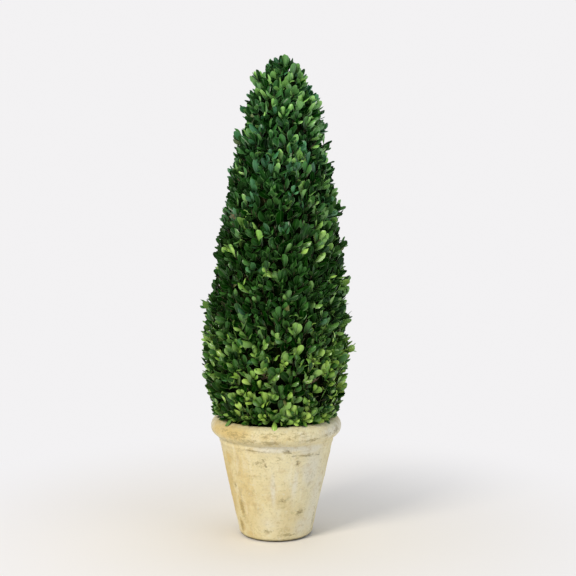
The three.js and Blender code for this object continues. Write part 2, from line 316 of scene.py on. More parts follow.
WARM, COOL, PLAIN = (1.0, 0.93, 0.82), (0.86, 0.92, 1.0), (1.0, 0.98, 0.95)
soft_light("window_light", (-1.5, -1.9, 1.9), towards_z=0.35, size=0.9, watts=60.0, colour=WARM)
soft_light("side_fill", (1.9, -1.2, 0.9), towards_z=0.35, size=1.6, watts=13.0, colour=COOL)
soft_light("top_light", (0.2, 0.5, 2.4), towards_z=0.4, size=1.2, watts=9.0, colour=PLAIN)

# %% [markdown]
# ## The crown's own rule
#
# A clipped plant has one outline that every shoot is cut back to. The outline here is a
# radius for each height, a gentle swell round the axis where the shears went unevenly, and a
# lean of the upper part to one side. The solids are built on the same few numbers, so the
# leaves made here fill the same space.

# %% Outline of the crown
TOTAL_HEIGHT, POT_HEIGHT = 700.0, 177.0
CROWN_RADIUS, CROWN_WIDEST_Z, CROWN_FOOT_RADIUS = 108.0, 262.0, 88.0
OUTLINE_POWER, OUTLINE_ROOT = 1.1, 0.43
LEAN, LEAN_FROM_Z, LEAN_TO_Z = 9.5, 280.0, 560.0
SWERVES = [(380, 32, 4.5), (290, 18, 1.5), (243, 26, -3)]  # height of the middle, spread and amount
UNDULATION = 2.2
RIM_CENTRE_R, RIM_CENTRE_Z, RIM_HALF_WIDTH, RIM_HALF_HEIGHT = 81.0, 163.0, 15.0, 14.0
UP = np.array([0.0, 0.0, 1.0])


def crown_radius(z):
    """Below the widest place R - 20 down^1.5, and above it R (1 - up^1.1)^0.43."""
    down = np.clip((CROWN_WIDEST_Z - z) / (CROWN_WIDEST_Z - POT_HEIGHT), 0, None)
    up = np.clip((z - CROWN_WIDEST_Z) / (TOTAL_HEIGHT - CROWN_WIDEST_Z), 0, 1)
    skirt = CROWN_RADIUS - (CROWN_RADIUS - CROWN_FOOT_RADIUS) * down**1.5
    ogive = CROWN_RADIUS * (1 - up**OUTLINE_POWER) ** OUTLINE_ROOT
    return np.where(z < CROWN_WIDEST_Z, skirt, ogive)


def lean(z):
    """The axis moves over by a smooth step between two heights, and sways at three more."""
    t = np.clip((z - LEAN_FROM_Z) / (LEAN_TO_Z - LEAN_FROM_Z), 0, 1)
    return LEAN * t * t * (3 - 2 * t) + sum(a * np.exp(-(((z - m) / s) ** 2)) for m, s, a in SWERVES)


def undulation(around, z):
    """UNDULATION times half the sum of two sine waves that wind round the axis in opposite
    directions."""
    return 0.5 * UNDULATION * (np.sin(2 * around + z / 23) + np.sin(3 * around - z / 41 + 1.3))


def chance(index, purpose):
    """The fractional part of a large sine: the same number for one index and one purpose."""
    wave = np.sin(np.asarray(index, dtype=float) * 12.9898 + purpose * 78.233 + 7) * 43758.5453
    return wave - np.floor(wave)


def swing(index, purpose):
    """The same, from -1 to 1."""
    return 2 * chance(index, purpose) - 1


def on_crown(points):
    """Angle round the crown's leaning axis, distance from it and height of each point."""
    x, y, z = points[..., 0] - lean(points[..., 2]), points[..., 1], points[..., 2]
    return np.arctan2(y, x), np.hypot(x, y), z


def ramp(value, low, high):
    """0 below low, 1 above high and a straight rise between them."""
    return np.clip((value - low) / (high - low), 0, 1)


heights = np.array([200.0, 262, 400, 600])
print("crown radius at", heights, "mm:", np.round(crown_radius(heights), 1))

# %% [markdown]
# ## The sprigs
#
# Boxwood grows as short twigs that carry leaves in pairs, each pair turned a quarter round
# from the last. The places where the twigs leave the inner wood follow the plastic-number
# sequence: each new twig falls in one of the largest gaps that are left, so the first hundred
# or so are the twigs of the solids and the ones that follow fill in between them. Those
# finer twigs stand a little steeper and start at different depths, as shoots do that were
# clipped in different years. A skirt leans out over the rim, and a few strays reach past the
# outline where the shears missed them.

# %% Where the sprigs grow
SOLID_SPRIGS, SPRIGS, SKIRT_SPRIGS = 115, 1550, 110
SPRIG_RISE, SPRIG_SWAY = 38.0, 12.0  # degrees
FINE_RISE, FINE_SWAY, FINE_TURN = 5.0, 6.0, 8.0  # degrees more on the finer sprigs
CORE_INSET, TWIG_DEPTH, TWIG_LENGTH = 10.0, 10.0, 20.0
SPRIG_FOOT_Z = POT_HEIGHT + 8
SKIRT_Z, SKIRT_ROOT_R, SKIRT_RISE, SKIRT_LENGTH = 183.0, 68.0, 6.0, 11.0
PLASTIC, GOLDEN = 1.32471795724474602596, 0.6180339887


def even_heights(share, steps=400):
    """Heights that leave equal shares of the clipped surface between them."""
    step = (TOTAL_HEIGHT - 6 - SPRIG_FOOT_Z) / steps
    heights = SPRIG_FOOT_Z + step * np.arange(steps + 1)
    area = np.concatenate([[0], np.cumsum(crown_radius(heights[:-1] + step / 2))])
    return np.interp(share * area[-1], area, heights)


def pointing(turn, rise):
    """Directions from an angle round the axis and an angle above level, and level ones
    square to them."""
    out = round_axis(1.0, turn, 0.0)
    return out * np.cos(rise)[:, None] + UP * np.sin(rise)[:, None], np.cross(UP, out)


def sprig_axes(count):
    """Root, direction, sideways direction, height and twig length of each sprig."""
    n = np.arange(count)
    fine = n >= SOLID_SPRIGS
    z = even_heights((0.5 + n / PLASTIC) % 1)
    around = 2 * np.pi * ((0.5 + n / PLASTIC**2) % 1) + 0.1 * swing(n, 1)
    slope = (crown_radius(z - 4) - crown_radius(z + 4)) / 8
    steep = SPRIG_RISE + FINE_RISE * fine + (SPRIG_SWAY + FINE_SWAY * fine) * swing(n, 2)
    rise = np.minimum(np.arctan(slope) + np.radians(steep), np.radians(88))
    turn = around + np.radians(SPRIG_SWAY + FINE_TURN * fine) * swing(n, 3)
    depth = CORE_INSET + TWIG_DEPTH + fine * (1.5 + 3.5 * swing(n, 6))
    root_z = np.clip(z - TWIG_LENGTH * np.sin(rise), SPRIG_FOOT_Z, TOTAL_HEIGHT - 25)
    root = round_axis(np.maximum(1, crown_radius(z) - depth), around, root_z, lean(root_z))
    return root, *pointing(turn, rise), z, TWIG_LENGTH * (1 + 0.12 * swing(n, 5))


def skirt_axes(count):
    """Sprigs that lean out over the rim, nearly level, all round the foot of the crown."""
    n = 5000 + np.arange(count)
    around = 2 * np.pi * (np.arange(count) * GOLDEN % 1)
    z = SKIRT_Z + 4 * swing(n, 6)
    root = round_axis(SKIRT_ROOT_R + 6 * swing(n, 1), around, z)
    axes = pointing(around + 0.3 * swing(n, 3), np.radians(SKIRT_RISE + 20 * swing(n, 2)))
    return root, *axes, z, SKIRT_LENGTH + 3 * swing(n, 5)


# %% Strays and late sprigs
# Angle round the axis and height of the tip, reach past the outline and rise of each stray.
STRAYS = [
    (0, 277, 12, 14), (-4, 328, 8, 30), (-6, 382, 7, 34), (3, 432, 10, 30), (-3, 487, 10, 40),
    (4, 636, 8, 50), (180, 677, 11, 55), (183, 590, 7, 45), (178, 540, 8, 42), (181, 344, 11, 34),
    (95, 300, 9, 25), (62, 420, 9, 32), (128, 520, 8, 40), (-88, 625, 6, 50), (-128, 250, 7, 18),
    (150, 235, 9, 15), (0, 645, 7, 50), (2, 606, 6, 48), (180, 648, 4, 52),
]
STRAY_LENGTH, STRAY_TIP_LEAF = 24.0, 13.0  # mm of twig, and how far its last leaves reach on
# Angle and height of late sprigs, each in a gap that the sequence leaves.
LATE = [(-63, 300), (-63, 288), (-66, 276), (-3, 610), (5, 598)]
LEADER_ROOT_Z, LEADER_Z = TOTAL_HEIGHT - 35, TOTAL_HEIGHT - 5


def stray_axes():
    """Twigs that the shears missed, worked back from where their tips should be."""
    turn, z, reach, rise = np.array(STRAYS, dtype=float).T
    direction, across = pointing(np.radians(turn), np.radians(rise))
    tip = round_axis(crown_radius(z) + reach, np.radians(turn), z, lean(z))
    return tip - direction * (STRAY_LENGTH + STRAY_TIP_LEAF), direction, across, z, STRAY_LENGTH + 0 * z


def late_axes():
    """Sprigs like the fine ones, at given places."""
    turn, z = np.array(LATE, dtype=float).T
    turn, n = np.radians(turn), 7000 + np.arange(len(z))
    root = round_axis(crown_radius(z) - CORE_INSET - TWIG_DEPTH, turn, z - 14, lean(z))
    axes = pointing(turn + 0.2 * swing(n, 3), np.radians(SPRIG_RISE + 12 * swing(n, 2)))
    return root, *axes, z, TWIG_LENGTH + 0 * z


leader_root = [lean(LEADER_ROOT_Z), 0.0, LEADER_ROOT_Z]
leader = [[leader_root], [UP], [[0.0, 1.0, 0.0]], [LEADER_Z], [TWIG_LENGTH]]
groups = [sprig_axes(SPRIGS), leader, skirt_axes(SKIRT_SPRIGS), stray_axes(), late_axes()]
roots, directions, acrosses, sprig_z, grown = (np.concatenate(c) for c in zip(*groups))
sprig_number = np.arange(len(roots))
first_skirt = SPRIGS + 1
first_stray = first_skirt + SKIRT_SPRIGS
allowance = np.zeros(len(roots))  # how far past the outline each sprig's leaves may reach
allowance[first_stray : first_stray + len(STRAYS)] = [stray[2] + 1 for stray in STRAYS]
is_stray = allowance > 0
print(len(roots), "sprigs with roots from", round(roots[:, 2].min()), "to", round(roots[:, 2].max()), "mm")

# %% [markdown]
# ## One leaf
#
# A boxwood leaf is a small leathery spoon: narrow at the root, broad past the middle, blunt
# at the tip, its edges turned down and its midrib sunk in the upper face. A flat card would
# lose the soft highlight that runs along each leaf, so a leaf is a thin closed shell whose
# upper face has five points across and whose lower face has three.

# %% Leaf shape
STATIONS = np.array([0.12, 0.34, 0.57, 0.79, 0.94])
LEAF_THICKNESS = 0.34


def leaf_width(u):
    """Share of the full half width at u along the leaf: 1.74 u^0.68 (1 - u^2.4)^0.62."""
    return 1.74 * u**0.68 * (1 - u**2.4) ** 0.62


def leaf_grid():
    """Each leaf point as (u along, v across from -1 to 1, lift), in one fixed order."""
    rows = [(0.0, 0.0, 0.0), (1.0, 0.0, 0.0)]
    for u in STATIONS:
        rows += [(u, -1, 0), (u, -0.5, 0.75), (u, 0, 0.35), (u, 0.5, 0.75), (u, 1, 0), (u, 0, -1)]
    return np.array(rows)


def leaf_faces():
    """Quads of the upper and the lower face of one leaf, and triangles of both. Points 0 to 4
    of a station are the upper face's, and 0, 5 and 4 the lower face's."""

    def at(i, j):
        """Point j of station i."""
        return 2 + 6 * i + j

    last = len(STATIONS) - 1
    top, below = [(j, j + 1) for j in range(4)], [(0, 5), (5, 4)]
    upper = [[at(i, a), at(i + 1, a), at(i + 1, b), at(i, b)] for i in range(last) for a, b in top]
    under = [[at(i, a), at(i, b), at(i + 1, b), at(i + 1, a)] for i in range(last) for a, b in below]
    tips = [[0, at(0, a), at(0, b)] for a, b in top] + [[1, at(last, b), at(last, a)] for a, b in top]
    bellies = [[0, at(0, b), at(0, a)] for a, b in below]
    bellies += [[1, at(last, a), at(last, b)] for a, b in below]
    return np.array(upper), np.array(under), np.array(tips), np.array(bellies)


LEAF = leaf_grid()
UPPER, UNDER, TIPS, BELLIES = leaf_faces()
OUTLINE = np.isin(np.arange(len(LEAF)), [0, 1]) | (np.abs(LEAF[:, 1]) == 1)
print("a leaf has", len(LEAF), "points and", len(UPPER) + len(UNDER) + len(TIPS) + len(BELLIES), "faces")


def leaf_points(frames, length, width, curl, cup):
    """Points of many leaves at once: x = L (u - curl u^3 / 2), y = W/2 w(u) v, and
    z = -curl L u^2 - cup W (w v)^2 + thickness * lift * sqrt(w)."""
    u, v, lift = LEAF[:, 0], LEAF[:, 1], LEAF[:, 2]
    w = leaf_width(u)
    length, width, curl, cup = (a[:, None] for a in (length, width, curl, cup))
    bend = -curl * length * u**2 - cup * width * (w * v) ** 2
    z = bend + LEAF_THICKNESS * lift * np.sqrt(w)
    local = np.stack([length * (u - 0.5 * curl * u**3), 0.5 * width * w * v, z], axis=-1)
    origin, *axes = (a[:, None] for a in frames)
    return sum((local[..., k, None] * axis for k, axis in enumerate(axes)), origin)


# %% [markdown]
# ## Setting the leaves
#
# Every sprig gets up to four pairs, and each leaf is the longest of six lengths whose tip
# lies inside the clipped outline and that clears the pot. Where even the shortest is too
# long, the leaf is left off, as the shears would have done. Around a few thin places most
# leaves are left off as well, so that brown twigs show there, two of them low on the front.

# %% Limits that the leaves keep to
# Place along the twig, quarter turn and spread in degrees, and size of each pair.
PAIRS = [(0.22, 0, 60, 1.0), (0.48, 90, 52, 1.0), (0.72, 0, 46, 0.96), (0.95, 90, 27, 0.86)]
CUTS = (0.62, 0.70, 0.78, 0.86, 0.93, 1.0)  # the lengths that are tried, as shares of the full one
LEAF_LENGTH, LEAF_OVERLAP, TIP_SCATTER = 22.0, 0.8, 7.0
NICKS = [(686, 15, 8.0, 1), (697, 8, 7.0, -1)]  # height, spread, depth and side, 1 being +X
BARE_FROM, BARER_FROM = 450, 1150  # the sprig numbers from which one and two inner pairs are missing


def unit(v):
    """Rows scaled to length one."""
    return v / np.linalg.norm(v, axis=-1, keepdims=True)


def clear_of_pot(points):
    """True where a point is above the bead's middle and outside the bead."""
    across = (np.hypot(points[..., 0], points[..., 1]) - RIM_CENTRE_R) / (RIM_HALF_WIDTH + 1)
    high = (points[..., 2] - RIM_CENTRE_Z) / (RIM_HALF_HEIGHT + 1)
    return (points[..., 2] > RIM_CENTRE_Z + 6) & (across**2 + high**2 > 1)


def inside_outline(tips, scatter, extra):
    """True where a leaf tip is inside the clipped surface, which the shears drew in a little
    on the right of the top and, higher up, on the left."""
    around, r, z = on_crown(tips)
    nick = sum(
        depth * np.exp(-(((z - middle) / spread) ** 2)) * np.clip(side * np.cos(around), 0, 1)
        for middle, spread, depth, side in NICKS
    )
    reach = crown_radius(z - scatter) + undulation(around, z) - nick + scatter + extra
    return (r <= reach) & (z < TOTAL_HEIGHT)


def longest_fit(start, along, full, scatter):
    """The longest cut of each leaf that fits, or 0 where none does. Its tip has to be inside
    the outline, and its tip and a place a little past its middle clear of the pot."""
    length = np.zeros(len(start))
    for cut in CUTS:
        reach = along * (full * cut)[:, None]
        fits = inside_outline(start + reach, scatter, allowance)
        fits &= clear_of_pot(start + reach) & clear_of_pot(start + 0.55 * reach)
        length = np.where(fits, full * cut, length)
    return length


# %% Place every leaf
LIFT, LAY = 0.60, 0.50  # how far a leaf turns up and outwards, and its upper face outwards


def turned_to_light(along, face, share, sway):
    """Leaves swing towards up and out, each by a share of its own, sway sideways, and lay
    their upper faces outwards. Higher up and on strays they swing out a little less."""
    out = np.cross(acrosses, UP)
    outwards = np.where(is_stray, 0.66, 0.76 - 0.12 * ramp(sprig_z, 300, 450))
    towards = outwards[:, None] * out + 0.72 * UP
    along = unit(along + (LIFT * share)[:, None] * towards + sway[:, None] * acrosses)
    face = face + np.where(is_stray, 0.3, LAY)[:, None] * (out + 0.25 * UP)
    return along, unit(face - along * np.sum(face * along, axis=1)[:, None])


def first_pair(n):
    """The innermost pair that a sprig carries: the finer the sprig, the barer its root.
    Strays have all four pairs, and the skirt and the late sprigs three."""
    by_number = np.where(n < BARE_FROM, 0, np.where(n < BARER_FROM, 1, 2))
    return np.where(n < first_skirt, by_number, np.where(is_stray, 0, 1))


def set_leaf(p, half):
    """One leaf of pair p on every sprig: its sprig, pair, start, three axes and length. The
    leaves of strays keep closer to their twig and vary less."""
    place, quarter, spread, size = PAIRS[p]
    n, purpose = sprig_number, 20 + 8 * p + 4 * half
    roll = np.radians(25 * swing(n, 4) + quarter + 180 * half + 12 * swing(n, purpose))[:, None]
    side = acrosses * np.cos(roll) + np.cross(directions, acrosses) * np.sin(roll)
    angle = np.radians(np.where(is_stray, 0.45, 1.0) * spread + 9 * swing(n, purpose + 1))[:, None]
    along = directions * np.cos(angle) + side * np.sin(angle)
    face = directions * np.sin(angle) - side * np.cos(angle)
    share = np.where(is_stray, 0.5, 0.35 + 1.4 * chance(n, purpose + 0.25))
    sway = np.where(is_stray, 0.0, 0.45 * swing(n, purpose + 0.75))
    along, face = turned_to_light(along, face, share, sway)
    twist = np.radians(34 * swing(n, purpose + 2))[:, None]
    face = face * np.cos(twist) + np.cross(face, along) * np.sin(twist)
    start = roots + directions * (place * grown)[:, None] - along * LEAF_OVERLAP
    full = size * (LEAF_LENGTH + 4.6 * swing(n, purpose + 3) + 1.6 * swing(n, 9))
    scatter = (TIP_SCATTER + 2.0 * ramp(sprig_z, 540, 620)) * swing(n, purpose + 0.5)
    length = longest_fit(start, along, full, np.where(is_stray, 0.0, scatter - 1.0))
    length *= p >= first_pair(n)
    return n, np.full(len(n), p), start, along, unit(np.cross(face, along)), unit(face), length


leaves = [set_leaf(p, half) for p in range(len(PAIRS)) for half in (0, 1)]
leaves = [np.concatenate(c) for c in zip(*leaves)]
leaves = [c[leaves[-1] > 0] for c in leaves]
print(len(leaves[0]), "leaves of", 2 * len(PAIRS) * len(roots), "fit inside the outline")

# %% Thin places
# Angle, height and radius of each.
THIN_PLACES = [(-57, 240, 7), (-97, 252, 5), (35, 330, 9), (150, 240, 10), (-150, 470, 6), (95, 420, 8)]
THINNED = 0.85  # the share of a thin place's leaves that is left off


def near_place(points, angle, height, radius, taller):
    """True in an oval round a place, measured along the crown's surface: its half width is
    radius, in mm, and its half height taller times that."""
    around, r, z = on_crown(points)
    turn = (np.degrees(around) - angle + 180) % 360 - 180
    return (np.radians(turn) * r) ** 2 + ((z - height) / taller) ** 2 < radius**2


middle = leaves[2] + leaves[3] * (0.6 * leaves[6])[:, None]
is_thin = np.any([near_place(middle, *place, 1.25) for place in THIN_PLACES], axis=0)
stays = ~(is_thin & (chance(np.arange(len(middle)), 3.3) < THINNED))
leaves = [c[stays] for c in leaves]
print(len(leaves[0]), "leaves stay")

# %% Leaves that hang over the rim
# Angle round the axis of each, the first being the bright one at the front of the photograph.
HANGING = [-91.0, -30.0, -141.0, 20.0, 74.0, 128.0, 171.0]
HANG_R, HANG_Z, HANG_RISE, HANG_LENGTH = 80.5, 185.5, -42.0, 18.0


def hanging_leaves():
    """Leaves that start just above the bead and hang down over its outer shoulder."""
    turn, n = np.radians(HANGING), np.arange(len(HANGING))
    along, across = pointing(turn + 0.25 * swing(n, 51), np.radians(HANG_RISE + 0 * turn))
    start = round_axis(HANG_R, turn, HANG_Z)
    nearest = np.argmin(np.linalg.norm(roots - start[:, None], axis=-1), axis=1)
    length = HANG_LENGTH - 2.5 * chance(n, 52)
    return nearest, 0 * n + len(PAIRS) - 1, start, along, across, unit(np.cross(along, across)), length


leaves = [np.concatenate(c) for c in zip(leaves, hanging_leaves())]
leaf_sprig, leaf_pair, leaf_start, leaf_along, leaf_side, leaf_face, leaf_length = leaves
leaf_number = np.arange(len(leaf_sprig))
front_leaf = len(leaf_sprig) - len(HANGING)
print(len(leaf_number), "leaves of", np.round([leaf_length.min(), leaf_length.max()], 1), "mm")

# %% [markdown]
# ## Colours of the leaves
#
# Neighbouring leaves differ a good deal, and whole sprigs a little. Most leaves are a deep
# bottle green, some are tinted blue as a painted sheen of the sky, and the youngest are a clear
# yellow green. The bright ones lie thickest near the foot and in the upper part, though not on
# the very top, and towards the outer end of a sprig, where light reaches. The innermost leaves
# are nearly black as painted shade, and the +X side gets brighter tints than the -X side as
# painted light and shade. One mesh could hold all the leaves, but with one piece for each tint
# no mesh grows too heavy, and each material stays short.

# %% Young leaves
YOUNG_RADIUS, YOUNG_DEPTH = 7.0, 13.0  # mm round a young place and below the outline
# Angle round the axis and height of the brightest young leaves on the front.
YOUNG = [
    (-136, 429), (-42, 449), (-66, 432), (-101, 396), (-128, 381), (-95, 330), (-126, 323), (-90, 286),
    (-70, 288), (-57, 269), (-49, 282), (-82, 266), (-99, 251), (-116, 230), (-62, 217), (-127, 669),
    (-98, 611), (-67, 601), (-64, 556), (-83, 553), (-45, 459), (-112, 457),
]


def near_young(points):
    """True round a young place and just below the outline. The other three sides have the
    front's places, each higher or lower by a share of its own."""
    near = np.zeros(len(points), dtype=bool)
    for side in range(4):
        for number, (angle, height) in enumerate(YOUNG):
            level = height + 24 * min(side, 1) * swing(number, 70 + side)
            near |= near_place(points, angle + 90 * side, level, YOUNG_RADIUS, 1.3)
    _, r, z = on_crown(points)
    return near & (r > crown_radius(z) - YOUNG_DEPTH)


# %% Deal the tints
def deal_tints():
    """A tint for each leaf. Its score is 0.28 of its sprig's number, 0.72 of its own, a little for
    its zone and a little for its side, the +X side brighter and the -X side darker as painted
    light and shade, and picks deep, green, leafy or fresh in that order. The blue sheen, the
    young places, the inner pairs and a few dry leaves then overrule it."""
    z = sprig_z[leaf_sprig]
    own = chance(leaf_number, 12)
    foot = np.clip((345 - z) / 60, 0, 1) * (1 - 0.25 * np.clip((228 - z) / 30, 0, 1))
    top = ramp(z, 540, 610)
    belt = np.exp(-(((z - 410) / 90) ** 2))
    score = 0.28 * chance(leaf_sprig, 11) + 0.72 * own + 0.20 * foot + 0.21 * top - 0.17 * belt
    around = np.arctan2(leaf_start[:, 1], leaf_start[:, 0])
    # Painted light and shade: the cosine term gives the +X side brighter tints and the -X side darker
    # ones.
    score += 0.04 * np.sin(3 * around + z / 30) + 0.11 * np.cos(around)
    score -= 0.22 * (leaf_start[:, 2] > TOTAL_HEIGHT - 28)
    tint = np.full(len(z), "deep", dtype=object)
    tint[score > 0.45] = "green"
    tint[score > 0.67] = "leafy"
    tint[score > 0.91 + 0.02 * top] = "fresh"
    # Painted sheen: the blue tint, more often higher up, stands for the sky reflected in the leaves.
    tint[(chance(leaf_sprig, 13) < 0.04 + 0.15 * ramp(z, 430, 570)) & (own > 0.35)] = "blue"
    young = near_young(leaf_start + leaf_along * (0.6 * leaf_length)[:, None]) & (leaf_pair >= 1)
    tint[young] = np.where((z > 330) & (own > 0.5), "leafy", "fresh")[young]
    # Painted shade: the innermost pair, and some of the next, take the nearly black inner tint.
    tint[(leaf_pair == 0) | ((leaf_pair == 1) & (own < 0.35))] = "inner"
    tint[(chance(leaf_number, 14) > 0.991) & (leaf_pair <= 1)] = "dry"
    tint[front_leaf] = "fresh"
    return tint


leaf_tint = deal_tints()
print("tints:", {str(name): int((leaf_tint == name).sum()) for name in sorted(set(leaf_tint))})

# %% Leaf material
# The darkest and the lightest colour of each tint, and its sheen, most of which the old dark
# leaves have lost. The inner tint is nearly black as painted shade deep in the crown, and the
# blue tint is a painted sheen of the sky.
TINTS = {
    "inner": ((0.0006, 0.013, 0.0003), (0.0045, 0.041, 0.0015), 0.01),
    "deep": ((0.0012, 0.015, 0.0006), (0.0105, 0.060, 0.0045), 0.08),
    "green": ((0.005, 0.042, 0.004), (0.056, 0.186, 0.030), 0.24),
    "leafy": ((0.042, 0.150, 0.024), (0.242, 0.450, 0.096), 0.50),
    "blue": ((0.012, 0.072, 0.022), (0.085, 0.275, 0.092), 0.45),
    "fresh": ((0.170, 0.385, 0.052), (0.410, 0.645, 0.135), 0.50),
    "dry": ((0.090, 0.105, 0.030), (0.190, 0.200, 0.075), 0.15),
}
# The edge colour is a paler margin with a painted highlight along it.
RIB_COLOUR, EDGE_AND_HIGHLIGHT_COLOUR = (0.13, 0.26, 0.07), (0.26, 0.44, 0.16)
# The cooler colour is a painted sheen of the sky on the upper leaves.
COOLER_SKY_SHEEN, WARMER = (0.88, 1.04, 1.26), (1.08, 1.0, 0.84)  # what the colour is multiplied by


def leaf_material(name, dark, light, gloss):
    """Each leaf has its own tone between two greens, darker at its root as painted shade. The
    colour is mottled a little, paler on the lower face and along the midrib, paler at the edge
    as a paler margin and a painted highlight, cooler near the plant's top as a painted sheen of
    the sky and warmer near its foot, and the gloss varies."""
    m = Maker("leaf_" + name)
    tone = m.times(m.noise(260.0, 3.0, 0.6), 0.5, m.times(m.attribute("tone"), 0.85, -0.2))
    # Painted shade: each leaf darkens towards its root, where the leaves around it shade it.
    root = m.times(m.rest(m.window(m.attribute("along"), 0.05, 0.75)), 0.80)
    middle = m.maths("ABSOLUTE", m.attribute("across"))
    rib = m.times(m.rest(m.window(middle, 0.04, 0.16)), 0.30)
    paler = m.maths("MAXIMUM", rib, m.times(m.attribute("under"), 0.5))
    # The edge is a paler margin with a painted highlight along it.
    edge = m.times(m.window(middle, 0.78, 1.0), 0.14 if name in ("inner", "deep") else 0.34)
    colour = m.blend(root, m.blend(tone, dark, light), tuple(0.40 * a for a in dark))
    colour = m.blend(paler, colour, tuple(0.6 * a + 0.4 * b for a, b in zip(light, RIB_COLOUR)))
    colour = m.blend(edge, colour, EDGE_AND_HIGHLIGHT_COLOUR)
    # Painted sheen: the leaves grow bluer towards the top, as the sky reflected in them.
    colour = m.blend(m.window(m.height(), 0.40, 0.60), colour, COOLER_SKY_SHEEN, "MULTIPLY")
    colour = m.blend(m.rest(m.window(m.height(), 0.22, 0.36)), colour, WARMER, "MULTIPLY")
    roughness = m.times(m.noise(90.0, 2.0), 0.26, 0.17)
    return m.finished(colour, roughness, gloss, m.bump(m.noise(900.0, 3.0, 0.6), 0.25, 0.0004))


# %% Leaf pieces
def mark_leaves(mesh, own):
    """Gives each face its side and its leaf's tone, each point its place on the leaf, and
    keeps the outline's edges sharp."""
    count, tone = len(own), chance(own, 34)
    pairs = ((UPPER, UNDER), (TIPS, BELLIES))
    under = [np.tile(np.repeat([0, 1], [len(top), len(below)]), count) for top, below in pairs]
    mark(mesh, "under", "FACE", np.concatenate(under))
    mark(mesh, "tone", "FACE", np.concatenate([np.repeat(tone, len(a) + len(b)) for a, b in pairs]))
    mark(mesh, "along", "POINT", np.tile(LEAF[:, 0], count))
    mark(mesh, "across", "POINT", np.tile(LEAF[:, 1], count))
    ends = np.empty(len(mesh.edges) * 2, dtype=np.int32)
    mesh.edges.foreach_get("vertices", ends)
    rim = np.tile(OUTLINE, count)[ends.reshape(-1, 2)].all(axis=1)
    mesh.attributes.new("sharp_edge", "BOOLEAN", "EDGE").data.foreach_set("value", rim)


def leaf_piece(name):
    """All leaves of one tint as one mesh."""
    own = leaf_number[leaf_tint == name]
    length = leaf_length[own]
    width = length * (0.45 + 0.07 * swing(own, 31))
    curl, cup = 0.10 + 0.16 * swing(own, 32), 0.26 + 0.16 * swing(own, 33)
    frames = (leaf_start[own], leaf_along[own], leaf_side[own], leaf_face[own])
    points = leaf_points(frames, length, width, curl, cup)
    shift = (np.arange(len(own)) * len(LEAF))[:, None, None]
    quads = (np.concatenate([UPPER, UNDER])[None] + shift).reshape(-1, 4)
    triangles = (np.concatenate([TIPS, BELLIES])[None] + shift).reshape(-1, 3)
    mesh = new_mesh("leaves_" + name, points.reshape(-1, 3), quads, triangles)
    mark_leaves(mesh, own)
    return new_piece(mesh, leaf_material(name, *TINTS[name]))


def in_crown(piece):
    """Marks a piece as a part of the crown that takes the place of the solid one."""
    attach(piece, "root")
    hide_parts("foliage_cone")


for name in TINTS:
    in_crown(leaf_piece(name))

# %% [markdown]
# ## Boughs and twigs
#
# Under the leaves the plant is a bush of thin upright boughs. They leave the stem low down,
# spread, and climb inside the crown. Each sprig is joined to the bough that it can reach
# most directly by a shoot that rises steeply. A twig is a three-sided taper, which is enough
# at two millimetres across. Where the leaves are thin, bare brown twigs show.

# %% Tapers
def tapers(points, radii, sides):
    """Points and faces of closed tapers along paths: points is (paths, rings, 3) and radii
    (paths, rings). Each ring lies square to the path's chord."""
    paths, rings = radii.shape
    along = unit(points[:, -1] - points[:, 0])
    first = unit(np.cross(along, np.where(np.abs(along[:, 2:]) > 0.9, [[1.0, 0, 0]], [[0, 0, 1.0]])))
    second = np.cross(along, first)
    corner = 2 * np.pi * np.arange(sides) / sides
    ring = first[:, None] * np.cos(corner)[:, None] + second[:, None] * np.sin(corner)[:, None]
    flat = (points[:, :, None, :] + ring[:, None] * radii[:, :, None, None]).reshape(-1, 3)
    shift = (np.arange(paths) * rings * sides)[:, None, None]
    quads = (grid_quads(rings, sides)[None] + shift).reshape(-1, 4)
    foot = np.array([[0, k + 1, k] for k in range(1, sides - 1)])
    tip = (rings - 1) * sides + foot[:, [0, 2, 1]]
    return flat, quads, (np.concatenate([foot, tip])[None] + shift).reshape(-1, 3)


def straight(starts, ends, bow, rings=3):
    """Paths of three or more points from starts to ends, bent sideways by bow half way."""
    t = np.linspace(0, 1, rings)[None, :, None]
    return starts[:, None] + (ends - starts)[:, None] * t + bow[:, None] * (4 * t * (1 - t))


# %% Boughs
BOUGHS, BOUGH_RINGS = 30, 16
bough_number = np.arange(BOUGHS)
is_leader = bough_number == 0  # the first bough climbs to the top
bough_turn = 2 * np.pi * (bough_number * GOLDEN % 1)
bough_share = np.where(is_leader, 0.0, 0.35 + 0.45 * chance(bough_number, 61))
bough_foot = 184 + 78 * chance(bough_number, 62)
bough_top = np.where(is_leader, 668.0, 380 + 240 * chance(bough_number, 63))


def bough_at(bough, z):
    """A bough's middle at height z: it leaves the stem and spreads to a share of the crown."""
    t = ramp(z, bough_foot[bough], bough_foot[bough] + 70)
    r = bough_share[bough] * np.maximum(crown_radius(z) - 22, 0) * t * t * (3 - 2 * t)
    return round_axis(r, bough_turn[bough] + 0.15 * np.sin(z / 40 + bough), z, lean(z))


levels = np.linspace(0, 1, BOUGH_RINGS)[None]
bough_z = bough_foot[:, None] + (bough_top - bough_foot)[:, None] * levels
bough_points = bough_at(np.repeat(bough_number[:, None], BOUGH_RINGS, axis=1), bough_z)
bough_radii = np.where(is_leader, 5.5, 3.6)[:, None] * (1 - 0.72 * levels)
print(BOUGHS, "boughs that end between", round(bough_top.min()), "and", round(bough_top.max()), "mm")

